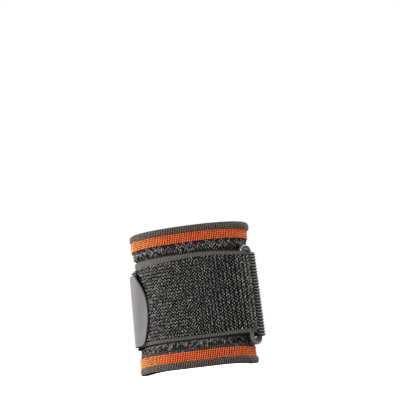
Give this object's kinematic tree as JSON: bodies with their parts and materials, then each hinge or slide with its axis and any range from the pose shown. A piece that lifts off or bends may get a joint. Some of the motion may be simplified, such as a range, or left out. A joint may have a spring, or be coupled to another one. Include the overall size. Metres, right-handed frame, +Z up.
{
  "type": "wrist support",
  "caption": "Knitted elastic wrist cuff with striped borders, cinched by a broad pile strap that turns back through a plastic ring and is held by a hook tab",
  "frame": {"origin": "middle of the part's box, at the height of the lower rim it stands on", "axes": "+Z runs up the tube from the forearm end to the hand end, -Y is the back of the wrist, +X the thumb side with the ring"},
  "size_m": [0.0754, 0.0508, 0.08],
  "materials": {
    "knit": "ribbed elastic knit in grey, orange and charcoal yarn, matte",
    "webbing": "charcoal loop pile with plain woven selvedges and a ribbed back, matte",
    "ring_plastic": "dark moulded plastic, soft gloss",
    "hook_plastic": "light grey hook tape, satin back"
  },
  "bodies": {
    "root": {"knit_cuff": "knit", "strap": "webbing", "strap_ring": "ring_plastic", "hook_tab": "hook_plastic"}
  },
  "joints": []
}
